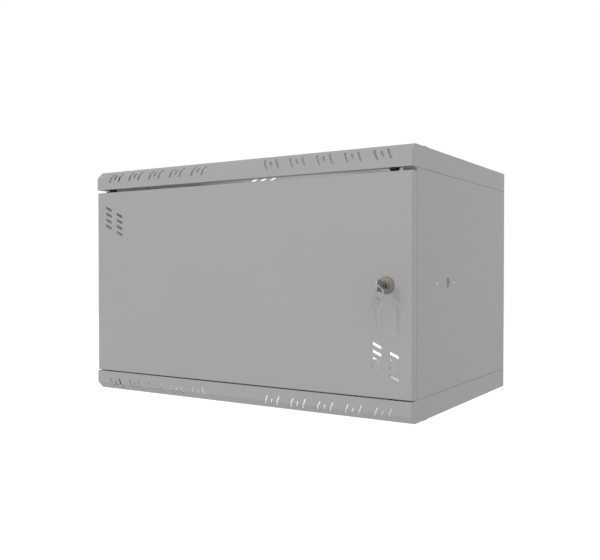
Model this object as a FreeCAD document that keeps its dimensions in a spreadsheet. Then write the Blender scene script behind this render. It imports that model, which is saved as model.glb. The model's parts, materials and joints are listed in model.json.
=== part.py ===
import FreeCAD, Part
import math
import os
import re

import Sketcher
from FreeCAD import Placement, Rotation, Vector

# Wall mount network cabinet: 19 inch, 6U, folded sheet steel, reversible locking door.
# Frame: X to the right, Y to the wall, Z up. The origin is the middle of the four
# wall fixings, on the plane of the wall, so the cabinet lies at Y < 0.

SIZES = {
    # outer box and sheet
    "cabinet_width": 600.0,
    "cabinet_depth": 404.0,
    "cabinet_height": 380.0,
    "sheet": 1.2,
    "seam": 0.4,
    # top and bottom covers
    "cover_skirt": 31.2,
    "lip_chamfer": 11.0,
    "lip_return": 16.2,
    "slot_group_start": 70.7,
    "slot_group_pitch": 46.2,
    "slot_groups": 5.0,
    "slot_spacing": 10.6,
    "slot_width": 3.2,
    "slot_lean": 0.469,
    "long_slot": 17.0,
    "short_slot": 9.0,
    "roof_vent_first": 85.5,
    "roof_vent_pitch": 21.6,
    "roof_vent_length": 60.0,
    "roof_vent_width": 10.9,
    "roof_vent_lean": 60.0,
    "roof_vent_middle": 168.0,
    "keyhole_offset": 230.0,
    "keyhole_height": 168.5,
    "keyhole_drop": 12.5,
    "keyhole_entry_radius": 7.5,
    "keyhole_neck_radius": 4.0,
    # cable entry and its blanking plate
    "cable_width": 300.0,
    "cable_depth": 50.0,
    "cable_from_wall": 24.0,
    "plate_overlap": 15.0,
    "plate_overlap_depth": 10.0,
    "plate_screw_x": 157.0,
    "plate_screw_near": 19.0,
    "plate_screw_pitch": 60.0,
    "plate_screw_radius": 2.0,
    "screw_play": 0.15,
    "plate_screw_head_radius": 4.0,
    "plate_screw_head": 2.2,
    # side panels
    "panel_front": 20.5,
    "lap_front": 40.0,
    "lap_low": 148.0,
    "lap_high": 172.0,
    "tab_front": 43.0,
    "tab_width": 14.0,
    "tab_proud": 1.2,
    "tab_play": 0.3,
    "rear_return": 36.0,
    "fixing_x": 280.0,
    "fixing_z": 125.0,
    "fixing_radius": 4.5,
    "side_hole_front": 90.7,
    "side_hole_middle": 130.5,
    "side_hole_rear": 160.4,
    "side_hole_radius": 2.75,
    "side_knockout_radius": 9.0,
    "side_knockout_flat": 6.5,
    # jamb on the lock side
    "jamb_front": 16.5,
    "jamb_return": 20.0,
    "jamb_leg": 45.0,
    # door
    "door_setback": 1.1,
    "door_depth": 14.9,
    "door_gap_top": 5.3,
    "door_gap_bottom": 1.6,
    "door_bend_radius": 0.8,
    "vent_column_outer": 273.75,
    "vent_column_inner": 247.6,
    "vent_top_outer": 126.6,
    "vent_top_inner": 114.5,
    "vent_pitch": 10.4,
    "vent_rows": 4.0,
    "vent_width": 13.6,
    "vent_opening": 4.3,
    "vent_drop": 6.0,
    # hinge
    "hinge_inset": 29.6,
    "hinge_setback": 8.5,
    "hinge_pin_radius": 3.0,
    "hinge_pin_head_radius": 5.5,
    "hinge_pin_head": 2.5,
    "hinge_pin_reach": 9.6,
    "bush_bore_radius": 3.06,
    "bush_shank_radius": 5.0,
    "bush_collar_radius": 7.2,
    "bush_gap_top": 0.8,
    "bush_gap_bottom": 0.5,
    "bush_shank": 2.2,
    # lock
    "lock_inset": 38.0,
    "bezel_radius": 12.0,
    "bezel_height": 3.5,
    "barrel_radius": 9.4,
    "barrel_flat": 8.0,
    "barrel_length": 19.0,
    "plug_radius": 5.49,
    "plug_bore_radius": 5.55,
    "plug_face": 2.7,
    "plug_back": 21.6,
    "keyway_width": 2.4,
    "keyway_height": 7.2,
    "keyway_depth": 13.0,
    "nut_across_flats": 24.0,
    "nut_thickness": 3.5,
    "cam_thickness": 2.0,
    "cam_half_width": 8.0,
    "cam_reach": 22.0,
    "cam_square": 6.0,
    "cam_screw_radius": 2.0,
    "cam_screw_depth": 8.0,
    "cam_screw_head": 2.6,
    "cam_screw_flats": 7.0,
    # keys and ring
    "key_thickness": 2.0,
    "key_hole_radius": 2.75,
    "key_bow_end": 4.5,
    "key_bow_half": 8.5,
    "key_shoulder": 14.5,
    "key_blade_half": 3.2,
    "key_tip": 35.5,
    "key_stand_out": 26.4,
    "ring_radius": 8.0,
    "wire_radius": 0.8,
    "ring_drop": 1.6,
    "spare_key_turn": 68.0,
    # 19 inch rails and the channels that carry them
    "rail_sheet": 2.0,
    "rail_inner": 222.5,
    "rail_outer": 247.0,
    "rail_web": 30.0,
    "rail_length": 276.0,
    "rack_hole_x": 232.55,
    "rack_hole_size": 9.5,
    "rack_unit": 44.45,
    "rack_units": 6.0,
    "rack_hole_first": 6.35,
    "rack_hole_pitch": 15.875,
    "front_rail": 130.0,
    "rear_rail": 262.0,
    "channel_sheet": 1.5,
    "channel_low": 112.0,
    "channel_high": 132.0,
    "channel_front": 84.0,
    "channel_length": 296.0,
    "channel_slot_height": 7.0,
    "channel_slot_length": 60.0,
    "channel_slot_first": 22.0,
    "channel_slot_pitch": 80.0,
    "channel_slots": 3.0,
    "rail_bolt_radius": 3.0,
    "rail_bolt_flats": 10.0,
    "rail_bolt_head": 4.0,
    "rail_bolt_length": 11.0,
    "rail_nut_flats": 10.0,
    "rail_nut": 5.0,
    # small fittings
    "clip_length": 8.0,
    "clip_depth": 16.0,
    "clip_height": 11.0,
    "clip_wall": 2.2,
    "stud_radius": 3.0,
    "door_stud": 11.0,
    "floor_stud": 16.0,
    "stud_nut_flats": 10.0,
    "stud_nut": 5.0,
    "door_stud_x": 225.0,
    "door_stud_z": 120.0,
    "floor_stud_x": 215.0,
    "floor_stud_y": 60.0,
}

RIGHT = 1
LEFT = -1
TOP = 1
BOTTOM = -1

doc = FreeCAD.newDocument("wall_mount_network_cabinet")
sheet = doc.addObject("Spreadsheet::Sheet", "Sizes")
nodes = []


def fill_sheet():
    """One row per driving dimension: its name, its value and its alias."""
    for row, (alias, number) in enumerate(SIZES.items(), start=1):
        sheet.set(f"A{row}", alias)
        sheet.set(f"B{row}", str(number))
        sheet.setAlias(f"B{row}", alias)
    doc.recompute()


def bind(text):
    """The expression that reads the sheet: each alias gets the sheet's name in front."""
    return re.sub(r"[a-z_]\w*", lambda word: "Sizes." + word[0] if word[0] in SIZES else word[0], text)


def value(text):
    """What an expression over the aliases comes to now."""
    return float(sheet.evalExpression(bind(text)))


def on_side(sign, text):
    """The same distance on the other side of the middle when the sign is negative."""
    return text if sign > 0 else f"-({text})"


def place(item, x, y, z, rotation=Rotation()):
    """Put a sub-part in the cabinet, each coordinate an expression over the sheet."""
    item.Placement = Placement(Vector(value(x), value(y), value(z)), rotation)
    for axis, text in (("x", x), ("y", y), ("z", z)):
        item.setExpression(f".Placement.Base.{axis}", bind(text))


# Bodies and sketches ---------------------------------------------------------------


def new_body(label):
    body = doc.addObject("PartDesign::Body", label)
    body.Label = label
    nodes.append(body)
    return body


def new_sketch(body, role, name, offset="0"):
    """A sketch on one of the body's own origin planes, moved along the plane's normal."""
    plane = next(item for item in body.Origin.OriginFeatures if item.Role == role)
    sketch = body.newObject("Sketcher::SketchObject", name)
    sketch.AttachmentSupport = (plane, [""])
    sketch.MapMode = "FlatFace"
    sketch.AttachmentOffset = Placement(Vector(0, 0, value(offset)), Rotation())
    sketch.setExpression(".AttachmentOffset.Base.z", bind(offset))
    return sketch


def pin_point(sketch, edge, end, x, y):
    """Hold one end of an edge at two expressions."""
    for kind, text in (("DistanceX", x), ("DistanceY", y)):
        index = sketch.addConstraint(Sketcher.Constraint(kind, -1, 1, edge, end, value(text)))
        sketch.setExpression(f"Constraints[{index}]", bind(text))


def polygon(sketch, points):
    """A closed outline of straight edges; each point is a pair of expressions."""
    first = sketch.GeometryCount
    count = len(points)
    corners = [Vector(value(x), value(y), 0) for x, y in points]
    for index, corner in enumerate(corners):
        sketch.addGeometry(Part.LineSegment(corner, corners[(index + 1) % count]), False)
    for index in range(count):
        following = first + (index + 1) % count
        sketch.addConstraint(Sketcher.Constraint("Coincident", first + index, 2, following, 1))
    for index, (x, y) in enumerate(points):
        pin_point(sketch, first + index, 1, x, y)


def rectangle(sketch, x_low, x_high, y_low, y_high):
    polygon(sketch, [(x_low, y_low), (x_high, y_low), (x_high, y_high), (x_low, y_high)])


def regular(sketch, x, y, radius, sides):
    """A regular outline about x, y: its corners are at the radius, one of them level."""
    points = []
    for step in range(sides):
        turn = 2 * math.pi * step / sides
        points.append((f"{x} + ({radius}) * {math.cos(turn):.9f}",
                       f"{y} + ({radius}) * {math.sin(turn):.9f}"))
    polygon(sketch, points)


def hexagon(sketch, across_flats, x="0", y="0"):
    regular(sketch, x, y, f"({across_flats}) / sqrt(3)", 6)


def circle(sketch, x, y, radius):
    ring = Part.Circle(Vector(value(x), value(y), 0), Vector(0, 0, 1), value(radius))
    edge = sketch.addGeometry(ring, False)
    pin_point(sketch, edge, 3, x, y)
    bind_radius(sketch, edge, radius)


def bind_radius(sketch, edge, radius):
    index = sketch.addConstraint(Sketcher.Constraint("Radius", edge, value(radius)))
    sketch.setExpression(f"Constraints[{index}]", bind(radius))


def arc(sketch, x, y, radius, start, end):
    """An arc about a held centre, from one angle to another in degrees."""
    ring = Part.Circle(Vector(value(x), value(y), 0), Vector(0, 0, 1), value(radius))
    edge = sketch.addGeometry(Part.ArcOfCircle(ring, math.radians(start), math.radians(end)), False)
    pin_point(sketch, edge, 3, x, y)
    bind_radius(sketch, edge, radius)
    return edge


def line_between(sketch, edge, end, next_edge, next_end, join="Coincident"):
    """A straight edge that joins the ends of two others."""
    line = Part.LineSegment(sketch.getPoint(edge, end), sketch.getPoint(next_edge, next_end))
    index = sketch.addGeometry(line, False)
    sketch.addConstraint(Sketcher.Constraint(join, edge, end, index, 1))
    sketch.addConstraint(Sketcher.Constraint(join, next_edge, next_end, index, 2))
    return index


def double_d(sketch, x, y, radius, flat):
    """A round hole with two level flats, as a lock barrel's is."""
    half = math.degrees(math.asin(value(flat) / value(radius)))
    right = arc(sketch, x, y, radius, -half, half)
    left = arc(sketch, x, y, radius, 180 - half, 180 + half)
    for sign, edges in ((1, (right, 2, left, 1)), (-1, (left, 2, right, 1))):
        line = line_between(sketch, *edges)
        sketch.addConstraint(Sketcher.Constraint("Horizontal", line))
        height = f"{y} + {on_side(sign, flat)}"
        index = sketch.addConstraint(Sketcher.Constraint("DistanceY", -1, 1, line, 1, value(height)))
        sketch.setExpression(f"Constraints[{index}]", bind(height))


def long_hole(sketch, x, y, length, radius, level=True):
    """A slot with round ends, its middle at x, y and its full length along x or y."""
    reach = f"({length}) / 2 - {radius}"
    if level:
        first = arc(sketch, f"{x} - ({reach})", y, radius, 90, 270)
        second = arc(sketch, f"{x} + {reach}", y, radius, -90, 90)
    else:
        first = arc(sketch, x, f"{y} + {reach}", radius, 0, 180)
        second = arc(sketch, x, f"{y} - ({reach})", radius, 180, 360)
    for start, finish in ((first, second), (second, first)):
        line_between(sketch, start, 2, finish, 1, join="Tangent")


# Features --------------------------------------------------------------------------

ALONG = 1
AGAINST = -1
BOTH = 0


def finish_feature(body, feature, sketch, length, way, along_is_reversed):
    feature.Profile = sketch
    feature.setExpression("Length", bind(length))
    if way == BOTH:
        feature.SideType = "Symmetric"
    else:
        feature.Reversed = (way == ALONG) == along_is_reversed
    sketch.Visibility = False
    body.Tip = feature
    return feature


def add(body, sketch, length, way=ALONG):
    """Pad a sketch along its plane's normal, against it or half each way."""
    feature = body.newObject("PartDesign::Pad", sketch.Name + "_pad")
    return finish_feature(body, feature, sketch, length, way, False)


def cut(body, sketch, length, way=AGAINST):
    """Pocket a sketch along its plane's normal, against it or half each way."""
    feature = body.newObject("PartDesign::Pocket", sketch.Name + "_pocket")
    return finish_feature(body, feature, sketch, length, way, True)


def revolve(body, sketch):
    """Turn a profile once round its sketch's vertical axis."""
    feature = body.newObject("PartDesign::Revolution", sketch.Name + "_revolution")
    feature.Profile = sketch
    feature.ReferenceAxis = (sketch, ["V_Axis"])
    feature.Angle = 360
    body.Tip = feature
    return feature


def linear(body, feature, sketch, axis, length, count, reverse=False):
    """One row of a multiple transform; its length is the span from first to last."""
    pattern = body.newObject("PartDesign::LinearPattern", feature.Name + "_row")
    pattern.Direction = (sketch, [axis])
    pattern.Reversed = reverse
    pattern.Mode = "Extent"
    pattern.setExpression("Length", bind(length))
    pattern.setExpression("Occurrences", bind(count))
    return pattern


def mirrored(body, feature, role):
    """One mirror of a multiple transform, in one of the body's origin planes."""
    plane = next(item for item in body.Origin.OriginFeatures if item.Role == role)
    mirror = body.newObject("PartDesign::Mirrored", feature.Name + "_mirror")
    mirror.MirrorPlane = (plane, [""])
    return mirror


def half_turn(body, feature, sketch):
    """The copy of a feature turned by half a turn about its sketch's origin."""
    turn = body.newObject("PartDesign::PolarPattern", feature.Name + "_turn")
    turn.Axis = (sketch, ["N_Axis"])
    turn.Angle = 360
    turn.Occurrences = 2
    return turn


def repeat(body, features, steps):
    """Apply patterns and mirrors to some features, each to the result of the last."""
    several = body.newObject("PartDesign::MultiTransform", features[0].Name + "_repeats")
    several.Originals = features
    several.Transformations = steps
    body.Tip = several
    return several




# Covers ----------------------------------------------------------------------------


def cover_levels(side):
    """Heights of a cover: roof, underside of the roof, free edge and bend of the lip."""
    roof = on_side(side, "(cabinet_height / 2)")
    inner = on_side(side, "(cabinet_height / 2 - sheet)")
    edge = on_side(side, "(cabinet_height / 2 - cover_skirt)")
    bend = on_side(side, "(cabinet_height / 2 - lip_chamfer)")
    inner_bend = on_side(side, "(cabinet_height / 2 - lip_chamfer - (sqrt(2) - 1) * sheet)")
    return roof, inner, edge, bend, inner_bend


def fold_tray(body, side):
    """The tray: flat roof, skirt all round and a chamfer folded along the front."""
    roof, inner, edge, bend, inner_bend = cover_levels(side)
    profile = new_sketch(body, "YZ_Plane", "profile")
    polygon(profile, [("-cabinet_depth", edge), ("-cabinet_depth", bend),
                      ("-cabinet_depth + lip_chamfer", roof), ("0", roof), ("0", edge)])
    add(body, profile, "cabinet_width", BOTH)
    hollow = new_sketch(body, "YZ_Plane", "hollow")
    chamfer_end = "-cabinet_depth + lip_chamfer + (sqrt(2) - 1) * sheet"
    polygon(hollow, [("-cabinet_depth + sheet", edge), ("-cabinet_depth + sheet", inner_bend),
                     (chamfer_end, inner), ("-sheet", inner), ("-sheet", edge)])
    cut(body, hollow, "cabinet_width - 2 * sheet", BOTH)


def fold_lip_return(body, side):
    """The lip's return flange, with a hole for a hinge bush at each end."""
    edge = cover_levels(side)[2]
    flange = new_sketch(body, "XY_Plane", "lip_flange", edge)
    rectangle(flange, "-cabinet_width / 2 + sheet", "cabinet_width / 2 - sheet",
              "-cabinet_depth + sheet", "-cabinet_depth + lip_return")
    add(body, flange, "sheet", ALONG if side == TOP else AGAINST)
    holes = new_sketch(body, "XY_Plane", "bush_holes", edge)
    for sign in (RIGHT, LEFT):
        regular(holes, on_side(sign, "(cabinet_width / 2 - hinge_inset)"),
                "-cabinet_depth + hinge_setback", "bush_shank_radius + screw_play", 16)
    cut(body, holes, "2 * sheet", ALONG if side == TOP else AGAINST)


def lip_slot(sketch, side, middle, length):
    """One leaning slot that runs over the bend: its edges turn with the sheet there.

    Distances along the sheet keep their length on the lip and lose a factor of the
    square root of two in height on the chamfer.
    """
    bend = cover_levels(side)[3]
    half = f"({length}) / 2"
    upper = f"{bend} + {on_side(side, half)} / sqrt(2)"
    lower = f"{bend} - {on_side(side, half)}"
    shift = f"slot_lean * {half}"
    left = f"{middle} - slot_width / 2"
    right = f"{middle} + slot_width / 2"
    polygon(sketch, [(f"{left} - {shift}", upper), (f"{right} - {shift}", upper), (right, bend),
                     (f"{right} + {shift}", lower), (f"{left} + {shift}", lower), (left, bend)])


def cut_lip_slots(body, side):
    """Groups of long, short and long slots along the lip, mirrored about the middle."""
    slots = new_sketch(body, "XZ_Plane", "lip_slots", "cabinet_depth")
    for step, length in ((-1, "long_slot"), (0, "short_slot"), (1, "long_slot")):
        lip_slot(slots, side, f"slot_group_start + {step} * slot_spacing", length)
    group = cut(body, slots, "lip_chamfer + 2 * sheet")
    row = linear(body, group, slots, "H_Axis", "slot_group_pitch * (slot_groups - 1)", "slot_groups")
    repeat(body, [group], [row, mirrored(body, group, "YZ_Plane")])


def cut_roof(body, side):
    """Openings of the flat sheet: vents, cable entry, screw holes and tab slots."""
    roof = cover_levels(side)[0]
    inward = AGAINST if side == TOP else ALONG
    vents = new_sketch(body, "XY_Plane", "roof_vents", roof)
    low = "-roof_vent_middle - roof_vent_length / 2"
    high = "-roof_vent_middle + roof_vent_length / 2"
    for sign in (RIGHT, LEFT):
        lean = on_side(sign, "(roof_vent_lean / 2)")
        for step in range(3):
            middle = on_side(sign, f"(roof_vent_first + {step} * roof_vent_pitch)")
            left = f"{middle} - roof_vent_width / 2"
            right = f"{middle} + roof_vent_width / 2"
            polygon(vents, [(f"{left} - {lean}", low), (f"{right} - {lean}", low),
                            (f"{right} + {lean}", high), (f"{left} + {lean}", high)])
    cut(body, vents, "2 * sheet", inward)
    entry = new_sketch(body, "XY_Plane", "cable_entry", roof)
    rectangle(entry, "-cable_width / 2", "cable_width / 2",
              "-cable_from_wall - cable_depth", "-cable_from_wall")
    plate_screw_holes(entry)
    tab_inner = "(cabinet_width / 2 - 2 * sheet - tab_play)"
    tab_outer = "(cabinet_width / 2 - sheet)"
    for sign in (RIGHT, LEFT):
        rectangle(entry, on_side(sign, tab_inner), on_side(sign, tab_outer),
                  "-cabinet_depth + tab_front - tab_play",
                  "-cabinet_depth + tab_front + tab_width + tab_play")
    cut(body, entry, "2 * sheet", inward)


def at_plate_screws(sketch, radius, sides):
    for sign in (RIGHT, LEFT):
        for step in range(2):
            regular(sketch, on_side(sign, "plate_screw_x"),
                    f"-plate_screw_near - {step} * plate_screw_pitch", radius, sides)


def plate_screw_holes(sketch):
    at_plate_screws(sketch, "plate_screw_radius + screw_play", 8)


def cut_keyholes(body):
    """Two keyholes in the rear skirt, their necks above the round entries."""
    entries = new_sketch(body, "XZ_Plane", "keyhole_entries")
    necks = new_sketch(body, "XZ_Plane", "keyhole_necks")
    for sign in (RIGHT, LEFT):
        middle = on_side(sign, "keyhole_offset")
        circle(entries, middle, "keyhole_height", "keyhole_entry_radius")
        long_hole(necks, middle, "keyhole_height + keyhole_drop / 2",
                  "keyhole_drop + 2 * keyhole_neck_radius", "keyhole_neck_radius", level=False)
    cut(body, entries, "2 * sheet", ALONG)
    cut(body, necks, "2 * sheet", ALONG)


def make_cover(label, side):
    body = new_body(label)
    fold_tray(body, side)
    fold_lip_return(body, side)
    cut_lip_slots(body, side)
    cut_roof(body, side)
    if side == TOP:
        cut_keyholes(body)


def make_cable_plate(label, side):
    """The blanking plate that closes a cover's cable entry from inside."""
    body = new_body(label)
    outline = new_sketch(body, "XY_Plane", "outline", cover_levels(side)[1])
    rectangle(outline, "-cable_width / 2 - plate_overlap", "cable_width / 2 + plate_overlap",
              "-cable_from_wall - cable_depth - plate_overlap_depth",
              "-cable_from_wall + plate_overlap_depth")
    plate_screw_holes(outline)
    add(body, outline, "sheet", AGAINST if side == TOP else ALONG)


def make_cable_plate_screws(label, side):
    """Four pan head screws that hold a blanking plate, their heads inside."""
    body = new_body(label)
    body.AllowCompound = True
    head_top = on_side(side, "(cabinet_height / 2 - 2 * sheet)")
    shanks = new_sketch(body, "XY_Plane", "shanks", head_top)
    at_plate_screws(shanks, "plate_screw_radius", 8)
    outward = ALONG if side == TOP else AGAINST
    add(body, shanks, "2 * sheet", outward)
    heads = new_sketch(body, "XY_Plane", "heads", head_top)
    at_plate_screws(heads, "plate_screw_head_radius", 12)
    add(body, heads, "plate_screw_head", -outward)


# Side panels and jamb --------------------------------------------------------------


def make_side_panel(label, side):
    """A flat side with a lap behind each cover's skirt, a rear flange and two tabs."""
    body = new_body(label)
    outer = on_side(side, "(cabinet_width / 2)")
    inner = on_side(side, "(cabinet_width / 2 - sheet)")
    lap = on_side(side, "(cabinet_width / 2 - 2 * sheet)")
    edge = "cabinet_height / 2 - cover_skirt - seam"
    face = new_sketch(body, "XZ_Plane", "face")
    rectangle(face, inner, outer, f"-({edge})", edge)
    add(body, face, "cabinet_depth - panel_front")
    flange = new_sketch(body, "XZ_Plane", "rear_flange")
    rectangle(flange, on_side(side, "(cabinet_width / 2 - rear_return)"), inner, f"-({edge})", edge)
    for sign in (TOP, BOTTOM):
        circle(flange, on_side(side, "fixing_x"), on_side(sign, "fixing_z"), "fixing_radius")
    add(body, flange, "sheet")
    laps = new_sketch(body, "XZ_Plane", "laps", "2 * sheet")
    rectangle(laps, lap, inner, "lap_low", "lap_high")
    rectangle(laps, lap, inner, "-lap_high", "-lap_low")
    add(body, laps, "cabinet_depth - lap_front - 2 * sheet")
    add_panel_tabs(body, side)
    cut_side_holes(body, side, outer)


def add_panel_tabs(body, side):
    """The tabs that pass through the covers near the front corners."""
    tabs = new_sketch(body, "YZ_Plane", "tabs", on_side(side, "(cabinet_width / 2 - 2 * sheet)"))
    tip = "cabinet_height / 2 + tab_proud"
    for sign in (TOP, BOTTOM):
        rectangle(tabs, "-cabinet_depth + tab_front", "-cabinet_depth + tab_front + tab_width",
                  on_side(sign, "(lap_high - 1)"), on_side(sign, f"({tip})"))
    add(body, tabs, "sheet", ALONG if side == RIGHT else AGAINST)


def cut_side_holes(body, side, outer):
    """Two screw holes and a knock-out between them, halfway up."""
    holes = new_sketch(body, "YZ_Plane", "side_holes", outer)
    for from_front in ("side_hole_front", "side_hole_rear"):
        regular(holes, f"-cabinet_depth + {from_front}", "0", "side_hole_radius", 12)
    double_d(holes, "-cabinet_depth + side_hole_middle", "0",
             "side_knockout_radius", "side_knockout_flat")
    cut(body, holes, "2 * sheet", AGAINST if side == RIGHT else ALONG)


def make_lock_jamb():
    """The angle on the lock side that the cam turns behind; its leg lies on the panel."""
    body = new_body("lock_jamb")
    edge = "cabinet_height / 2 - cover_skirt - seam"
    front = new_sketch(body, "XY_Plane", "front_flange")
    polygon(front, [("cabinet_width / 2 - jamb_return", "-cabinet_depth + jamb_front"),
                    ("cabinet_width / 2", "-cabinet_depth + jamb_front"),
                    ("cabinet_width / 2", "-cabinet_depth + panel_front"),
                    ("cabinet_width / 2 - sheet", "-cabinet_depth + panel_front"),
                    ("cabinet_width / 2 - sheet", "-cabinet_depth + jamb_front + sheet"),
                    ("cabinet_width / 2 - jamb_return", "-cabinet_depth + jamb_front + sheet")])
    add(body, front, f"2 * ({edge})", BOTH)
    leg = new_sketch(body, "XY_Plane", "leg")
    rectangle(leg, "cabinet_width / 2 - 2 * sheet", "cabinet_width / 2 - sheet",
              "-cabinet_depth + jamb_front", "-cabinet_depth + jamb_leg")
    add(body, leg, "2 * (lap_low - seam)", BOTH)


# Door ------------------------------------------------------------------------------

DOOR_FRONT = "cabinet_depth - door_setback"
DOOR_LOW = "(-cabinet_height / 2 + cover_skirt + door_gap_bottom)"
DOOR_HIGH = "(cabinet_height / 2 - cover_skirt - door_gap_top)"
DOOR_MIDDLE = f"(({DOOR_LOW} + {DOOR_HIGH}) / 2)"


def edges_where(feature, holds):
    """The names of the edges whose ends all pass a test."""
    doc.recompute()
    return [f"Edge{index}" for index, edge in enumerate(feature.Shape.Edges, start=1)
            if all(holds(vertex) for vertex in edge.Vertexes)]


def round_front_edges(body, feature):
    """The bends round the door's face: every edge that lies in the front plane."""
    front = -value(DOOR_FRONT)
    bends = body.newObject("PartDesign::Fillet", "face_bends")
    bends.Base = (feature, edges_where(feature, lambda vertex: abs(vertex.Y - front) < 1e-6))
    bends.setExpression("Radius", "Sizes.door_bend_radius")
    body.Tip = bends


def door_vent(sketch, column, top):
    """One slot that drops to the right between two upright ends."""
    left = f"-{column} - vent_width / 2"
    right = f"-{column} + vent_width / 2"
    rise = "vent_drop / 2"
    half = "vent_opening / 2"
    polygon(sketch, [(left, f"{top} + {rise} - {half}"), (right, f"{top} - {rise} - {half}"),
                     (right, f"{top} - {rise} + {half}"), (left, f"{top} + {rise} + {half}")])


def cut_door_vents(body):
    """Two columns of slots, repeated downwards, and the same turned by half a turn."""
    vents = new_sketch(body, "XZ_Plane", "door_vents", DOOR_FRONT)
    vents.setExpression(".AttachmentOffset.Base.y", bind(DOOR_MIDDLE))
    door_vent(vents, "vent_column_outer", "vent_top_outer")
    door_vent(vents, "vent_column_inner", "vent_top_inner")
    pair = cut(body, vents, "2 * sheet")
    rows = linear(body, pair, vents, "V_Axis", "vent_pitch * (vent_rows - 1)", "vent_rows", True)
    repeat(body, [pair], [rows, half_turn(body, pair, vents)])


def make_door():
    """A pan folded from one sheet, with vents, a lock hole and two hinge holes."""
    body = new_body("door")
    face = new_sketch(body, "XZ_Plane", "face", DOOR_FRONT)
    rectangle(face, "-cabinet_width / 2", "cabinet_width / 2", DOOR_LOW, DOOR_HIGH)
    block = add(body, face, "door_depth", AGAINST)
    round_front_edges(body, block)
    hollow = new_sketch(body, "XZ_Plane", "hollow", f"{DOOR_FRONT} - door_depth")
    rectangle(hollow, "-cabinet_width / 2 + sheet", "cabinet_width / 2 - sheet",
              f"{DOOR_LOW} + sheet", f"{DOOR_HIGH} - sheet")
    cut(body, hollow, "door_depth - sheet", ALONG)
    cut_door_vents(body)
    lock_hole = new_sketch(body, "XZ_Plane", "lock_hole", DOOR_FRONT)
    double_d(lock_hole, "cabinet_width / 2 - lock_inset", DOOR_MIDDLE,
             "barrel_radius", "barrel_flat")
    cut(body, lock_hole, "2 * sheet")
    hinge_holes = new_sketch(body, "XY_Plane", "hinge_holes")
    circle(hinge_holes, "-cabinet_width / 2 + hinge_inset", "-cabinet_depth + hinge_setback",
           "hinge_pin_radius")
    cut(body, hinge_holes, "cabinet_height", BOTH)


# Hinge pins and bushes -------------------------------------------------------------

TURNED_DOWN = Rotation(Vector(1, 0, 0), 180)


def make_hinge_bush(label, hand, side):
    """A bush in a lip's return flange, its collar bevelled; local Z leads off the door."""
    body = new_body(label)
    if side == TOP:
        collar = "door_gap_top - bush_gap_top"
    else:
        collar = "door_gap_bottom - bush_gap_bottom"
    rim = new_sketch(body, "XY_Plane", "rim")
    regular(rim, "0", "0", "bush_collar_radius", 16)
    block = add(body, rim, collar, AGAINST)
    nose = body.newObject("PartDesign::Chamfer", "nose")
    nose.Base = (block, edges_where(block, lambda vertex: vertex.Z < -1e-6))
    nose.setExpression("Size", bind(f"({collar}) * 2 / 3"))
    body.Tip = nose
    shank = new_sketch(body, "XY_Plane", "shank")
    regular(shank, "0", "0", "bush_shank_radius", 16)
    add(body, shank, "sheet + bush_shank")
    bore = new_sketch(body, "XY_Plane", "bore", "sheet + bush_shank")
    circle(bore, "0", "0", "bush_bore_radius")
    cut(body, bore, f"sheet + bush_shank + {collar}")
    place(body, on_side(hand, "(cabinet_width / 2 - hinge_inset)"),
          "-cabinet_depth + hinge_setback",
          on_side(side, "(cabinet_height / 2 - cover_skirt)"),
          Rotation() if side == TOP else TURNED_DOWN)


def make_hinge_pin(label, side):
    """A headed pin fixed in the door's flange; local Z points away from the door."""
    body = new_body(label)
    head = new_sketch(body, "XY_Plane", "head", "-sheet")
    regular(head, "0", "0", "hinge_pin_head_radius", 16)
    add(body, head, "hinge_pin_head", AGAINST)
    pin = new_sketch(body, "XY_Plane", "pin", "-sheet")
    circle(pin, "0", "0", "hinge_pin_radius")
    add(body, pin, "sheet + hinge_pin_reach")
    place(body, "-cabinet_width / 2 + hinge_inset", "-cabinet_depth + hinge_setback",
          DOOR_HIGH if side == TOP else DOOR_LOW,
          Rotation() if side == TOP else TURNED_DOWN)


# Lock ------------------------------------------------------------------------------

TO_FRONT = Rotation(Vector(1, 0, 0), 90)
LOCK_X = "cabinet_width / 2 - lock_inset"
LOCK_Y = "-cabinet_depth + door_setback"


def place_on_lock(body):
    """Local Z points out of the door, local Y up, and Z = 0 is the door's face."""
    place(body, LOCK_X, LOCK_Y, DOOR_MIDDLE, TO_FRONT)


def make_lock_barrel():
    """The fixed part of the lock: a domed bezel and a barrel with two flats."""
    body = new_body("lock_barrel")
    bezel = new_sketch(body, "XZ_Plane", "bezel")
    polygon(bezel, [("plug_bore_radius", "0"), ("bezel_radius", "0"),
                    ("bezel_radius", "0.35 * bezel_height"),
                    ("bezel_radius - 2.2", "bezel_height"), ("plug_bore_radius", "bezel_height")])
    revolve(body, bezel)
    barrel = new_sketch(body, "XY_Plane", "barrel")
    regular(barrel, "0", "0", "barrel_radius", 24)
    circle(barrel, "0", "0", "plug_bore_radius")
    add(body, barrel, "barrel_length", AGAINST)
    flats = new_sketch(body, "XY_Plane", "flats")
    for sign in (TOP, BOTTOM):
        rectangle(flats, "-bezel_radius", "bezel_radius", on_side(sign, "barrel_flat"),
                  on_side(sign, "bezel_radius"))
    cut(body, flats, "barrel_length", AGAINST)
    place_on_lock(body)


def make_lock_nut():
    """The thin hexagon nut that pulls the bezel against the door."""
    body = new_body("lock_nut")
    outline = new_sketch(body, "XY_Plane", "outline", "-sheet - nut_thickness")
    hexagon(outline, "nut_across_flats")
    regular(outline, "0", "0", "barrel_radius", 24)
    add(body, outline, "nut_thickness")
    place_on_lock(body)


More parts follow.
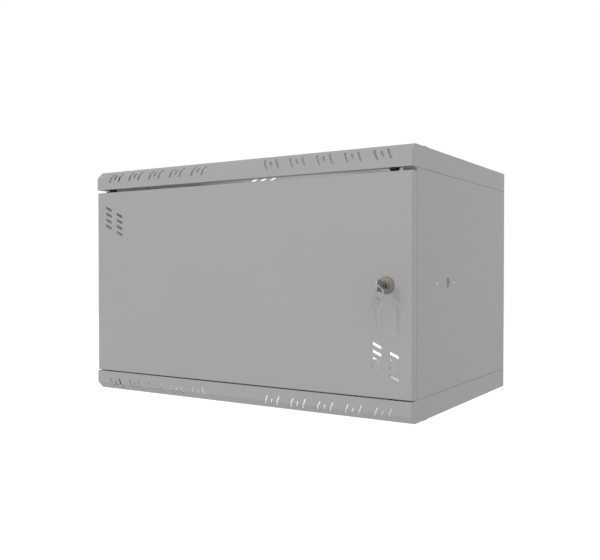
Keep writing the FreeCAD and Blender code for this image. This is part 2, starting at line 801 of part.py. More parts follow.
def make_lock_plug():
    """The turning part: keyway in front, square stub and screw hole behind."""
    body = new_body("lock_plug")
    profile = new_sketch(body, "XZ_Plane", "profile")
    polygon(profile, [("0", "-plug_back"), ("plug_radius", "-plug_back"),
                      ("plug_radius", "plug_face"), ("0", "plug_face")])
    revolve(body, profile)
    keyway = new_sketch(body, "XY_Plane", "keyway", "plug_face")
    rectangle(keyway, "-keyway_width / 2", "keyway_width / 2",
              "-keyway_height / 2", "keyway_height / 2")
    cut(body, keyway, "keyway_depth")
    stub = new_sketch(body, "XY_Plane", "stub", "-plug_back - cam_thickness")
    cam_square(stub)
    add(body, stub, "cam_thickness")
    tapped = new_sketch(body, "XY_Plane", "tapped_hole", "-plug_back - cam_thickness")
    regular(tapped, "0", "0", "cam_screw_radius", 12)
    cut(body, tapped, "cam_screw_depth - cam_thickness", ALONG)
    place_on_lock(body)


def cam_square(sketch):
    rectangle(sketch, "-cam_square / 2", "cam_square / 2", "-cam_square / 2", "cam_square / 2")


def make_lock_cam():
    """The flat cam, hanging down while the door is unlocked."""
    body = new_body("lock_cam")
    outline = new_sketch(body, "XY_Plane", "outline", "-plug_back - cam_thickness")
    long_hole(outline, "0", "-cam_reach / 2", "cam_reach + 2 * cam_half_width",
              "cam_half_width", level=False)
    cam_square(outline)
    add(body, outline, "cam_thickness")
    place_on_lock(body)


def make_cam_screw():
    body = new_body("cam_screw")
    face = "-plug_back - cam_thickness"
    head = new_sketch(body, "XY_Plane", "head", face)
    hexagon(head, "cam_screw_flats")
    add(body, head, "cam_screw_head", AGAINST)
    shank = new_sketch(body, "XY_Plane", "shank", face)
    regular(shank, "0", "0", "cam_screw_radius", 12)
    add(body, shank, "cam_screw_depth - cam_thickness - sheet")
    place_on_lock(body)


def key_outline(sketch):
    """A tapering bow, a plain blade and three cuts in one edge of the blade."""
    bow_back = "-key_bow_end"
    upper = [(bow_back, "0.65 * key_bow_half"), ("-key_bow_end / 2", "key_bow_half"),
             ("0.4 * key_shoulder", "key_bow_half"), ("key_shoulder", "key_blade_half + 1")]
    blade = [("key_shoulder", "key_blade_half")]
    for step in range(3):
        start = f"key_shoulder + {4 + 4.5 * step}"
        blade.append((start, "key_blade_half"))
        blade.append((f"{start} + 1.4", "key_blade_half - 1.5"))
        blade.append((f"{start} + 2.8", "key_blade_half"))
    tip = [("key_tip - 2.5", "key_blade_half"), ("key_tip", "0.4 * key_blade_half"),
           ("key_tip", "-0.4 * key_blade_half"), ("key_tip - 2.5", "-key_blade_half"),
           ("key_shoulder", "-key_blade_half")]
    lower = [(x, f"-({half})") for x, half in reversed(upper)]
    polygon(sketch, upper + blade + tip + lower)
    circle(sketch, "0", "0", "key_hole_radius")


def make_key(label):
    """A flat key; the origin is its ring hole, local Y runs to the tip."""
    body = new_body(label)
    outline = new_sketch(body, "YZ_Plane", "outline")
    key_outline(outline)
    add(body, outline, "key_thickness", BOTH)
    return body


RING_HOLE_Y = f"{LOCK_Y} - key_stand_out"
RING_MIDDLE_Z = f"{DOOR_MIDDLE} - ring_drop - ring_radius"


def make_keys():
    """One key in the lock, a ring through its bow and a spare key hanging from it."""
    place(make_key("key_in_lock"), LOCK_X, RING_HOLE_Y, DOOR_MIDDLE)
    ring = new_body("key_ring")
    coil = new_sketch(ring, "XY_Plane", "coil")
    regular(coil, "0", "0", "ring_radius + wire_radius", 24)
    regular(coil, "0", "0", "ring_radius - wire_radius", 24)
    add(ring, coil, "2 * wire_radius", BOTH)
    place(ring, LOCK_X, RING_HOLE_Y, RING_MIDDLE_Z, TO_FRONT)
    turn = math.radians(SIZES["spare_key_turn"])
    across = Vector(math.cos(turn), math.sin(turn), 0)
    down = Vector(0, 0, -1)
    hanging = Rotation(down.cross(across), down, across)
    place(make_key("spare_key"), LOCK_X, RING_HOLE_Y,
          f"{RING_MIDDLE_Z} - ring_radius - ring_drop", hanging)


# 19 inch rails ---------------------------------------------------------------------

RAIL_BOLT_Y = "-cabinet_depth + front_rail + rail_web / 2"
RAIL_BOLT_Z = "((channel_low + channel_high) / 2)"


def make_rail(label, side, front):
    """An angle with the square holes of the 19 inch grid in its front flange."""
    body = new_body(label)
    profile = new_sketch(body, "XY_Plane", "profile")
    near = f"-cabinet_depth + {front}"
    polygon(profile, [(on_side(side, "rail_inner"), near), (on_side(side, "rail_outer"), near),
                      (on_side(side, "rail_outer"), f"{near} + rail_web"),
                      (on_side(side, "(rail_outer - rail_sheet)"), f"{near} + rail_web"),
                      (on_side(side, "(rail_outer - rail_sheet)"), f"{near} + rail_sheet"),
                      (on_side(side, "rail_inner"), f"{near} + rail_sheet")])
    add(body, profile, "rail_length", BOTH)
    unit = new_sketch(body, "XZ_Plane", "unit_holes", f"cabinet_depth - {front}")
    middle = on_side(side, "rack_hole_x")
    half = "rack_hole_size / 2"
    for step in range(3):
        height = f"-rack_units * rack_unit / 2 + rack_hole_first + {step} * rack_hole_pitch"
        rectangle(unit, f"{middle} - {half}", f"{middle} + {half}",
                  f"{height} - {half}", f"{height} + {half}")
    holes = cut(body, unit, "2 * rail_sheet")
    row = linear(body, holes, unit, "V_Axis", "rack_unit * (rack_units - 1)", "rack_units")
    repeat(body, [holes], [row])
    bolts = new_sketch(body, "YZ_Plane", "bolt_holes", on_side(side, "rail_outer"))
    for sign in (TOP, BOTTOM):
        regular(bolts, f"{near} + rail_web / 2", on_side(sign, RAIL_BOLT_Z),
                "rail_bolt_radius + screw_play", 12)
    cut(body, bolts, "2 * rail_sheet", AGAINST if side == RIGHT else ALONG)


def make_channel(label, hand, side):
    """A depth channel between a side panel and the rails, slotted for the rail bolts."""
    body = new_body(label)
    profile = new_sketch(body, "XZ_Plane", "profile", "cabinet_depth - channel_front")
    wall = "cabinet_width / 2 - sheet"
    points = [("rail_outer", "channel_low"), ("rail_outer", "channel_high"),
              (wall, "channel_high"), (wall, "channel_low"),
              (f"{wall} - channel_sheet", "channel_low"),
              (f"{wall} - channel_sheet", "channel_high - channel_sheet"),
              ("rail_outer + channel_sheet", "channel_high - channel_sheet"),
              ("rail_outer + channel_sheet", "channel_low")]
    polygon(profile, [(on_side(hand, f"({x})"), on_side(side, f"({z})")) for x, z in points])
    add(body, profile, "channel_length", AGAINST)
    slots = new_sketch(body, "YZ_Plane", "slots", on_side(hand, "rail_outer"))
    channel_slot(slots, on_side(side, RAIL_BOLT_Z))
    slot = cut(body, slots, "2 * channel_sheet", ALONG if hand == RIGHT else AGAINST)
    row = linear(body, slot, slots, "H_Axis", "channel_slot_pitch * (channel_slots - 1)",
                 "channel_slots")
    repeat(body, [slot], [row])


def channel_slot(sketch, middle):
    """The first slot for the rail bolts, its ends cut off at the corners."""
    near = "-cabinet_depth + channel_front + channel_slot_first"
    far = f"{near} + channel_slot_length"
    low = f"{middle} - channel_slot_height / 2"
    high = f"{middle} + channel_slot_height / 2"
    corner = "channel_slot_height / 3"
    polygon(sketch, [(f"{near} + {corner}", low), (f"{far} - {corner}", low),
                     (far, f"{low} + {corner}"), (far, f"{high} - {corner}"),
                     (f"{far} - {corner}", high), (f"{near} + {corner}", high),
                     (near, f"{high} - {corner}"), (near, f"{low} + {corner}")])


def repeat_on_rails(body, features, sketch):
    """From one rail bolt, in front, on the right and above, to all eight."""
    first = features[0]
    rear = linear(body, first, sketch, "H_Axis", "rear_rail - front_rail", "2")
    steps = [rear, mirrored(body, first, "YZ_Plane"), mirrored(body, first, "XY_Plane")]
    repeat(body, features, steps)


def make_rail_bolts():
    """The eight hexagon bolts that hold the rails to the channels."""
    body = new_body("rail_bolts")
    body.AllowCompound = True
    head = new_sketch(body, "YZ_Plane", "head", "rail_outer - rail_sheet")
    hexagon(head, "rail_bolt_flats", RAIL_BOLT_Y, RAIL_BOLT_Z)
    shank = new_sketch(body, "YZ_Plane", "shank", "rail_outer - rail_sheet")
    regular(shank, RAIL_BOLT_Y, RAIL_BOLT_Z, "rail_bolt_radius", 12)
    features = [add(body, head, "rail_bolt_head", AGAINST), add(body, shank, "rail_bolt_length")]
    repeat_on_rails(body, features, head)


def make_rail_nuts():
    """The eight hexagon nuts inside the channels."""
    body = new_body("rail_nuts")
    body.AllowCompound = True
    outline = new_sketch(body, "YZ_Plane", "outline", "rail_outer + channel_sheet")
    hexagon(outline, "rail_nut_flats", RAIL_BOLT_Y, RAIL_BOLT_Z)
    regular(outline, RAIL_BOLT_Y, RAIL_BOLT_Z, "rail_bolt_radius + screw_play", 12)
    repeat_on_rails(body, [add(body, outline, "rail_nut")], outline)


# Small fittings --------------------------------------------------------------------


def make_corner_clip(label, hand, side):
    """A black nylon clip beside a panel tab, under the roof: a U with its back inward."""
    body = new_body(label)
    near = "cabinet_width / 2 - 2 * sheet"
    far = f"{near} - clip_length"
    start = "-cabinet_depth + tab_front + (tab_width - clip_depth) / 2"
    outline = new_sketch(body, "XY_Plane", "outline", on_side(side, "(cabinet_height / 2 - sheet)"))
    points = [(near, start), (far, f"{start} + clip_wall"),
              (far, f"{start} + clip_depth - clip_wall"), (near, f"{start} + clip_depth"),
              (near, f"{start} + clip_depth - clip_wall"),
              (f"{far} + clip_wall", f"{start} + clip_depth - 2 * clip_wall"),
              (f"{far} + clip_wall", f"{start} + 2 * clip_wall"),
              (near, f"{start} + clip_wall")]
    polygon(outline, [(on_side(hand, f"({x})"), y) for x, y in points])
    add(body, outline, "clip_height", AGAINST if side == TOP else ALONG)


def make_stud(label, length):
    """A threaded stud, drawn with twelve sides."""
    stud = doc.addObject("Part::Prism", label)
    stud.Label = label
    stud.Polygon = 12
    stud.setExpression("Circumradius", "Sizes.stud_radius")
    stud.setExpression("Height", bind(length))
    nodes.append(stud)
    return stud


def make_stud_nut(label):
    """A hexagon nut on its washer; local Z runs along the stud, away from the sheet."""
    body = new_body(label)
    washer = new_sketch(body, "XY_Plane", "washer")
    regular(washer, "0", "0", "stud_nut_flats / 2 + 1.2", 16)
    regular(washer, "0", "0", "stud_radius + screw_play", 12)
    add(body, washer, "sheet")
    outline = new_sketch(body, "XY_Plane", "outline", "sheet")
    hexagon(outline, "stud_nut_flats")
    regular(outline, "0", "0", "stud_radius + screw_play", 12)
    add(body, outline, "stud_nut")
    return body


def make_earth_points():
    """An earthing stud inside the door and one on the floor, each with its nut."""
    to_back = Rotation(Vector(1, 0, 0), -90)
    inside = f"{LOCK_Y} + sheet"
    for item in (make_stud("door_earth_stud", "door_stud"), make_stud_nut("door_earth_nut")):
        place(item, "-door_stud_x", inside, "-door_stud_z", to_back)
    for item in (make_stud("floor_earth_stud", "floor_stud"), make_stud_nut("floor_earth_nut")):
        place(item, "-floor_stud_x", "-floor_stud_y", "-cabinet_height / 2 + sheet")


def build():
    fill_sheet()
    sides = (("left", LEFT), ("right", RIGHT))
    levels = (("top", TOP), ("bottom", BOTTOM))
    for level, side in levels:
        make_cover(f"{level}_cover", side)
        make_cable_plate(f"{level}_cable_plate", side)
        make_cable_plate_screws(f"{level}_cable_plate_screws", side)
    for hand, sign in sides:
        make_side_panel(f"{hand}_side_panel", sign)
        make_rail(f"{hand}_front_rail", sign, "front_rail")
        make_rail(f"{hand}_rear_rail", sign, "rear_rail")
        for level, side in levels:
            make_channel(f"{level}_{hand}_channel", sign, side)
            make_hinge_bush(f"{level}_{hand}_bush", sign, side)
            make_corner_clip(f"{level}_{hand}_clip", sign, side)
    make_lock_jamb()
    make_door()
    make_hinge_pin("top_hinge_pin", TOP)
    make_hinge_pin("bottom_hinge_pin", BOTTOM)
    make_lock_barrel()
    make_lock_nut()
    make_lock_plug()
    make_lock_cam()
    make_cam_screw()
    make_keys()
    make_rail_bolts()
    make_rail_nuts()
    make_earth_points()
    doc.recompute()


def check():
    """Stop before anything is written if a feature or a shape has failed."""
    for item in doc.Objects:
        if {"Invalid", "Error"} & set(item.State):
            raise RuntimeError(f"{item.Name} ({item.Label}) failed: {item.State}")
    for node in nodes:
        if node.Shape.isNull() or not node.Shape.isValid():
            raise RuntimeError(f"{node.Label} has no valid shape")


def write():
    os.makedirs("parts", exist_ok=True)
    for node in nodes:
        node.Shape.exportStep(f"parts/{node.Label}.step")
        print(f"{node.Label:28s} solids {len(node.Shape.Solids)} volume {node.Shape.Volume:12.1f}")


build()
check()
write()
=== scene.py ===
import json
import math

import bmesh
import bpy
from bpy.props import FloatProperty, IntProperty, PointerProperty, StringProperty
from mathutils import Matrix, Vector


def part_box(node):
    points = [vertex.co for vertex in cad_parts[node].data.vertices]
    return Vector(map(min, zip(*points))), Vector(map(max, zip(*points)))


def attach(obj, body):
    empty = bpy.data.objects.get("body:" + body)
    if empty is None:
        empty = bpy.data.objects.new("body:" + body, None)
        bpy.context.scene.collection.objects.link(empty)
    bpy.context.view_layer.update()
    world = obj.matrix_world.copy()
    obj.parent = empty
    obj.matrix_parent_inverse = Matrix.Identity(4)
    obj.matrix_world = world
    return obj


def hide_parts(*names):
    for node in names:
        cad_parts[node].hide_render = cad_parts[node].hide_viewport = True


bl_info = {
    "name": "Wall Mount Network Cabinet",
    "version": (1, 0, 0),
    "blender": (4, 5, 0),
    "location": "View3D > Sidebar > Cabinet",
    "description": "Finishes and small parts of a wall mount network cabinet, and its studio",
    "category": "Object",
}

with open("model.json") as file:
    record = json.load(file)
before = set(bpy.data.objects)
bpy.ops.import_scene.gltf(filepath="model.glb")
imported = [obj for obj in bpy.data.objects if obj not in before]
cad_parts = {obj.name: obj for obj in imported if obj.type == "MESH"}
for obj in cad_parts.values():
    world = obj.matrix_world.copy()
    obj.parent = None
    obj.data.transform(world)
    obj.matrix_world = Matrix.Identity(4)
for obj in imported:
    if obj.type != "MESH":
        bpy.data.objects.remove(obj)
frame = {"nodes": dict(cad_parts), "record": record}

MM = 0.001
SLOTS = {part["node"]: part["material_slot"] for part in frame["record"]["subparts"]}
BODIES = {node: body for body, nodes in frame["record"]["behaviour"]["bodies"].items()
          for node in nodes}
JOINTS = {joint["name"]: Vector(joint["pos_m"])
          for joint in frame["record"]["behaviour"]["joints"]}


# Settings ----------------------------------------------------------------------------


class CabinetFinishSettings(bpy.types.PropertyGroup):
    coat_colour: StringProperty(
        name="Powder coat", description="Colour of the painted sheet steel, as sRGB hex",
        default="#A9A9A9")
    nickel_colour: StringProperty(
        name="Keys and ring", description="Colour of the nickel plated keys, as sRGB hex",
        default="#B3B3B4")
    bezel_colour: StringProperty(
        name="Lock bezel", description="Colour of the lock's satin nickel plate, as sRGB hex",
        default="#97918C")


class CabinetPartsSettings(bpy.types.PropertyGroup):
    thread_pitch: FloatProperty(
        name="Thread pitch", description="Spacing of the ridges on bolts and studs",
        default=1.0 * MM, min=0.5 * MM, unit="LENGTH")
    broken_edge: FloatProperty(
        name="Broken edge", description="Width of the rounding along cut metal edges",
        default=0.25 * MM, min=0.0, unit="LENGTH")
    round_steps: IntProperty(
        name="Round steps", description="Faces round each turned part", default=48, min=16)


class CabinetStudioSettings(bpy.types.PropertyGroup):
    lens: FloatProperty(
        name="Lens", description="Focal length of the camera on a 36 mm sensor, in millimetres",
        default=44.866, min=10.0, max=200.0, unit="CAMERA")
    sky: FloatProperty(
        name="Sky", description="Strength of the even light from all round", default=0.656,
        min=0.0)
    front: FloatProperty(
        name="Front", description="Share by which the front of the sky is brighter",
        default=0.52, min=0.0, max=1.0, subtype="FACTOR")
    sun: FloatProperty(
        name="Sun", description="Strength of the soft light from the upper left", default=0.46,
        min=0.0)
    inside: FloatProperty(
        name="Inside", description="Power of the soft light inside the cabinet, in watts",
        default=1.45, min=0.0, unit="POWER")
    back: FloatProperty(
        name="Back", description="Power of the light that enters by the open back, in watts",
        default=0.6, min=0.0, unit="POWER")


# Colours and nodes -------------------------------------------------------------------

WHITE = (1.0, 1.0, 1.0, 1.0)
EDGE_SAMPLES = 6    # rays that each rounded edge is averaged from


def linear(hex_colour):
    """An sRGB colour written as #RRGGBB, as linear RGBA."""
    digits = hex_colour.lstrip("#")
    channels = [int(digits[place:place + 2], 16) / 255 for place in (0, 2, 4)]
    return [c / 12.92 if c <= 0.04045 else ((c + 0.055) / 1.055) ** 2.4 for c in channels] + [1.0]


def shaded(colour, share):
    """A linear colour with a share of its light."""
    return [share * channel for channel in colour[:3]] + [1.0]


def add_node(tree, kind, settings=None, inputs=None):
    """One node with its settings; an input is a value, or an output socket to link."""
    node = tree.nodes.new(kind)
    for name, setting in (settings or {}).items():
        setattr(node, name, setting)
    for name, source in (inputs or {}).items():
        if isinstance(source, bpy.types.NodeSocket):
            tree.links.new(source, node.inputs[name])
        else:
            node.inputs[name].default_value = source
    return node


def start_material(name, **shader):
    """A material with its shader's constant sockets set; returns it, its tree and shader."""
    material = bpy.data.materials.new(name)
    material.use_nodes = True
    tree = material.node_tree
    surface = tree.nodes["Principled BSDF"]
    for socket, setting in shader.items():
        surface.inputs[socket.replace("_", " ")].default_value = setting
    return material, tree, surface


def ramp(tree, factor, stops):
    """A colour that runs between two (position, colour) stops."""
    node = add_node(tree, "ShaderNodeValToRGB", inputs={"Fac": factor})
    for element, (position, colour) in zip(node.color_ramp.elements, stops):
        element.position = position
        element.color = colour
    return node.outputs["Color"]


def object_noise(tree, size, detail=2.0, roughness=0.5, stretch=(1, 1, 1)):
    """Noise on object coordinates whose cells are about `size` metres wide."""
    place = add_node(tree, "ShaderNodeTexCoord")
    mapping = add_node(tree, "ShaderNodeMapping",
                       inputs={"Vector": place.outputs["Object"], "Scale": stretch})
    noise = add_node(tree, "ShaderNodeTexNoise",
                     inputs={"Vector": mapping.outputs["Vector"], "Scale": 1 / size,
                             "Detail": detail, "Roughness": roughness})
    return noise.outputs["Fac"]


def vary_roughness(tree, surface, factor, low, high):
    """Roughness that follows a pattern between two values."""
    spread = add_node(tree, "ShaderNodeMapRange",
                      inputs={"Value": factor, "To Min": low, "To Max": high})
    tree.links.new(spread.outputs["Result"], surface.inputs["Roughness"])


def add_relief(tree, surface, height, depth, edge=0.0):
    """Bump from a height pattern; an edge above zero also rounds edges by that radius."""
    bump = add_node(tree, "ShaderNodeBump", inputs={"Height": height, "Distance": depth})
    if edge:
        rounded = add_node(tree, "ShaderNodeBevel", {"samples": EDGE_SAMPLES},
                           {"Radius": edge})
        tree.links.new(rounded.outputs["Normal"], bump.inputs["Normal"])
    tree.links.new(bump.outputs["Normal"], surface.inputs["Normal"])


# Finishes ----------------------------------------------------------------------------


def powder_coated_steel():
    """Polyester powder coat on folded steel, cured in an oven.

    It gives the eye a satin light grey with a faint orange peel, whose shallow cells are
    1 to 2 mm across, and softly rounded cut edges.
    """
    material, tree, surface = start_material("powder_coated_steel", IOR=1.5)
    base = linear(bpy.context.scene.cabinet_finish.coat_colour)
    shade = object_noise(tree, 90 * MM, detail=3.0)
    tree.links.new(ramp(tree, shade, [(0.35, shaded(base, 0.985)), (0.65, base)]),
                   surface.inputs["Base Color"])
    vary_roughness(tree, surface, object_noise(tree, 25 * MM), 0.46, 0.54)
    add_relief(tree, surface, object_noise(tree, 1.6 * MM), 0.02 * MM, edge=0.6 * MM)
    return material


def zinc_plated_steel():
    """Bright zinc plate over cold rolled steel: a cool grey metal with fine rolling lines."""
    material, tree, surface = start_material("zinc_plated_steel", Metallic=0.8)
    tone = object_noise(tree, 12 * MM, detail=3.0)
    tree.links.new(ramp(tree, tone, [(0.3, linear("#CDCFD0")), (0.7, linear("#DCDDDE"))]),
                   surface.inputs["Base Color"])
    # Real rolling lines are about 0.1 mm apart. They are drawn wider so that they show.
    lines = object_noise(tree, 0.9 * MM, stretch=(1, 1, 0.06))
    vary_roughness(tree, surface, lines, 0.4, 0.52)
    add_relief(tree, surface, lines, 0.01 * MM, edge=0.3 * MM)
    return material


def satin_nickel_plate():
    """Satin nickel over die cast zinc: warm grey, brushed dull, darker where handled."""
    material, tree, surface = start_material("satin_nickel_plate", Metallic=1.0)
    base = linear(bpy.context.scene.cabinet_finish.bezel_colour)
    tone = object_noise(tree, 4 * MM, detail=4.0)
    tree.links.new(ramp(tree, tone, [(0.3, shaded(base, 0.85)), (0.7, base)]),
                   surface.inputs["Base Color"])
    vary_roughness(tree, surface, tone, 0.6, 0.68)
    add_relief(tree, surface, object_noise(tree, 0.5 * MM), 0.01 * MM)
    return material


def worn_brass_plug():
    """Nickel worn off a brass plug by the key: dark brown with scuffed lighter patches."""
    material, tree, surface = start_material("worn_brass_plug", Metallic=1.0)
    tone = object_noise(tree, 1.5 * MM, detail=4.0, roughness=0.6)
    tree.links.new(ramp(tree, tone, [(0.35, linear("#62554E")), (0.65, linear("#988B80"))]),
                   surface.inputs["Base Color"])
    vary_roughness(tree, surface, tone, 0.38, 0.55)
    add_relief(tree, surface, object_noise(tree, 0.4 * MM), 0.02 * MM)
    return material


def nickel_plated_brass():
    """Thin nickel on stamped brass: pale metal, finely scuffed by the other keys."""
    material, tree, surface = start_material("nickel_plated_brass", Metallic=1.0)
    base = linear(bpy.context.scene.cabinet_finish.nickel_colour)
    scuffs = object_noise(tree, 0.8 * MM, detail=5.0, roughness=0.7)
    # Painted shade: an ambient occlusion mask darkens the metal to half its colour in the creases
    # at the foot of the raised rim, where shade falls.
    crease = add_node(tree, "ShaderNodeAmbientOcclusion", {"only_local": True},
                      {"Distance": 1.2 * MM})
    tree.links.new(ramp(tree, crease.outputs["AO"], [(0.5, shaded(base, 0.5)), (0.85, base)]),
                   surface.inputs["Base Color"])
    vary_roughness(tree, surface, scuffs, 0.26, 0.42)
    add_relief(tree, surface, scuffs, 0.01 * MM)
    return material


def moulded_black_nylon():
    """Glass filled nylon, injection moulded: matt black with a fine grain."""
    material, tree, surface = start_material(
        "moulded_black_nylon", IOR=1.53, Base_Color=linear("#1F1F1F"), Specular_IOR_Level=0.3)
    # The mould's own grain is about 0.1 mm. It is drawn coarser so that it shows.
    grain = object_noise(tree, 0.4 * MM)
    vary_roughness(tree, surface, grain, 0.55, 0.7)
    add_relief(tree, surface, grain, 0.03 * MM)
    return material


# The maker of each of the record's material slots, and the materials made so far.
MAKERS = {
    "grey_powder_coat": powder_coated_steel,
    "zinc_plated_steel": zinc_plated_steel,
    "nickel_plated_zinc": satin_nickel_plate,
    "dark_nickel_plug": worn_brass_plug,
    "nickel_plated_brass": nickel_plated_brass,
    "black_nylon": moulded_black_nylon,
}
FINISHES = {}


def finish_of(slot):
    """The material of a record slot, made the first time it is asked for."""
    if slot not in FINISHES:
        FINISHES[slot] = MAKERS[slot]()
    return FINISHES[slot]


def dress(*nodes):
    """Give CAD nodes that are shown as they are the finish of their record slot."""
    for node in nodes:
        item = frame["nodes"][node]
        if not item.material_slots:
            item.data.materials.append(None)
        for slot in item.material_slots:
            slot.material = finish_of(SLOTS[node])


# Pieces ------------------------------------------------------------------------------

MERGE_GAP = 1e-6     # points of a CAD mesh that are nearer than this are one
POLE_GAP = 0.5e-6    # the same for the points that a spin leaves on its axis
LEVEL_GAP = 1e-7     # points whose heights differ by less than this are level
FLAT_TURN = 0.5      # degrees by which two faces may differ and still be one flat
SHARP_TURN = 30      # an edge that turns by more degrees than this gets rounded
ROOT_SHARE = 0.88    # a thread's root radius as a share of its outer radius


def put_in_scene(form, name, node, crease=35):
    """Turn a finished bmesh into the piece that stands for a CAD node."""
    bmesh.ops.recalc_face_normals(form, faces=form.faces)
    for face in form.faces:
        face.smooth = True
    mesh = bpy.data.meshes.new(name)
    form.to_mesh(mesh)
    form.free()
    mesh.set_sharp_from_angle(angle=math.radians(crease))
    piece = bpy.data.objects.new(name, mesh)
    bpy.context.scene.collection.objects.link(piece)
    mesh.materials.append(finish_of(SLOTS[node]))
    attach(piece, BODIES[node])
    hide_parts(node)


def turned(form, profile, steps):
    """Spin a profile of (radius, height) points in millimetres round the Z axis."""
    corners = [form.verts.new((radius * MM, 0, height * MM)) for radius, height in profile]
    edges = [form.edges.new(pair) for pair in zip(corners, corners[1:])]
    bmesh.ops.spin(form, geom=corners + edges, cent=(0, 0, 0), axis=(0, 0, 1),
                   angle=math.tau, steps=steps, use_merge=True)
    bmesh.ops.remove_doubles(form, verts=form.verts, dist=POLE_GAP)


def threaded_rod(form, radius, start, length, pitch, steps=24):
    """A rod along Z with ridges a pitch apart; the helix is too fine to show."""
    base = bmesh.ops.create_circle(form, cap_ends=True, radius=radius, segments=steps)
    bmesh.ops.translate(form, verts=base["verts"], vec=(0, 0, start))
    top = list({face for vert in base["verts"] for face in vert.link_faces})
    for step in range(int(2 * length / pitch)):
        grown = bmesh.ops.extrude_face_region(form, geom=top)["geom"]
        if step:
            bmesh.ops.delete(form, geom=top, context="FACES_ONLY")
        top = [item for item in grown if isinstance(item, bmesh.types.BMFace)]
        rim = [item for item in grown if isinstance(item, bmesh.types.BMVert)]
        share = ROOT_SHARE if step % 2 == 0 else 1 / ROOT_SHARE
        bmesh.ops.translate(form, verts=rim, vec=(0, 0, pitch / 2))
        bmesh.ops.scale(form, verts=rim, vec=(share, share, 1))


def hexagon_block(form, flats, low, high, chamfer):
    """A hexagon prism along Z, `flats` across, with its upper and lower rims bevelled."""
    base = bmesh.ops.create_circle(form, cap_ends=True, radius=flats / math.sqrt(3), segments=6)
    bmesh.ops.translate(form, verts=base["verts"], vec=(0, 0, low))
    bottom = list({face for vert in base["verts"] for face in vert.link_faces})
    grown = bmesh.ops.extrude_face_region(form, geom=bottom)["geom"]
    rim = [item for item in grown if isinstance(item, bmesh.types.BMVert)]
    bmesh.ops.translate(form, verts=rim, vec=(0, 0, high - low))
    verts = set(base["verts"]) | set(rim)
    edges = [edge for edge in form.edges if set(edge.verts) <= verts
             and abs(edge.verts[0].co.z - edge.verts[1].co.z) < LEVEL_GAP]
    bmesh.ops.bevel(form, geom=edges, offset=chamfer, segments=2, profile=0.5, material=-1,
                    affect="EDGES")


def moved_copies(form, places):
    """Repeat everything in a bmesh at each placement, in place of the original."""
    source = list(form.verts) + list(form.edges) + list(form.faces)
    for place in places:
        copied = bmesh.ops.duplicate(form, geom=source)["geom"]
        verts = [item for item in copied if isinstance(item, bmesh.types.BMVert)]
        bmesh.ops.transform(form, matrix=place, verts=verts)
    bmesh.ops.delete(form, geom=[item for item in source if isinstance(item, bmesh.types.BMVert)],
                     context="VERTS")


def merged_form(node):
    """A CAD node's shape with its loose triangles joined into flat faces."""
    form = bmesh.new()
    form.from_mesh(frame["nodes"][node].data)
    bmesh.ops.remove_doubles(form, verts=form.verts, dist=MERGE_GAP)
    bmesh.ops.dissolve_limit(form, angle_limit=math.radians(FLAT_TURN), verts=form.verts,
                             edges=form.edges)
    return form


def break_edges(form, width, segments=2):
    """Round every sharp edge."""
    sharp = [edge for edge in form.edges if len(edge.link_faces) == 2
             and edge.calc_face_angle(0) > math.radians(SHARP_TURN)]
    bmesh.ops.bevel(form, geom=sharp, offset=width, segments=segments, profile=0.5, material=-1,
                    affect="EDGES", clamp_overlap=True)


def solids_of(node):
    """The box of each separate solid of a node, as (low, high) corners."""
    form = bmesh.new()
    form.from_mesh(frame["nodes"][node].data)
    bmesh.ops.remove_doubles(form, verts=form.verts, dist=MERGE_GAP)
    left = set(form.verts)
    boxes = []
    while left:
        group = {left.pop()}
        to_visit = list(group)
        while to_visit:
            vert = to_visit.pop()
            for edge in vert.link_edges:
                other = edge.other_vert(vert)
                if other in left:
                    left.remove(other)
                    group.add(other)
                    to_visit.append(other)
        low = Vector([min(vert.co[axis] for vert in group) for axis in range(3)])
        high = Vector([max(vert.co[axis] for vert in group) for axis in range(3)])
        boxes.append((low, high))
    form.free()
    return sorted(boxes, key=lambda box: tuple(box[0]))


# Lock and keys -----------------------------------------------------------------------

BORE = 5.55         # radius of the bezel's bore, in millimetres
# (radius, height) in millimetres over the door's face: up the bore, over the dome, and back
# under the bezel's rim to the barrel.
BEZEL_PROFILE = [(BORE, -2), (BORE, 3.1), (5.9, 3.4), (6.5, 3.5), (7.2, 3.35), (10.8, 1.75),
                 (11.5, 1.35), (11.9, 0.85), (12, 0.4), (12, 0), (9, 0), (9, -2), (BORE, -2)]
BARREL_RADIUS = 9.4 * MM
BARREL_FLATS = 16 * MM
PLUG_EDGE = 0.2 * MM
LOCK_NUT_EDGE = 0.5 * MM
CAM_SCREW_EDGE = 0.4 * MM

BOW_END = 4.5 * MM         # from the ring's hole to the end of the bow
SHOULDER = 14.6 * MM       # from the ring's hole to where the blade starts
BLADE_LENGTH_SHARE = 0.88  # the ground blade against its blank
BLADE_WIDTH_SHARE = 0.72
KEY_EDGE = 0.5 * MM
KEY_RIM = 0.6 * MM         # width of the raised rim round each face
KEY_SUNK = 0.15 * MM       # depth of the face inside it
SPARE_KEY_TURN = 68        # degrees about the upright

RING_RADIUS = 8 * MM
RING_TURNS = 2
RING_STEPS = 120
WIRE_RADIUS = 0.4 * MM     # half the wire's thickness
WIRE_WIDTH_SHARE = 1.9     # its width as a share of its thickness
WIRE_SIDES = 12


def lock_place():
    """Local Z out of the door, local Y up, the origin on the door's face."""
    return Matrix.Translation(JOINTS["lock_turn"]) @ Matrix.Rotation(math.radians(90), 4, "X")


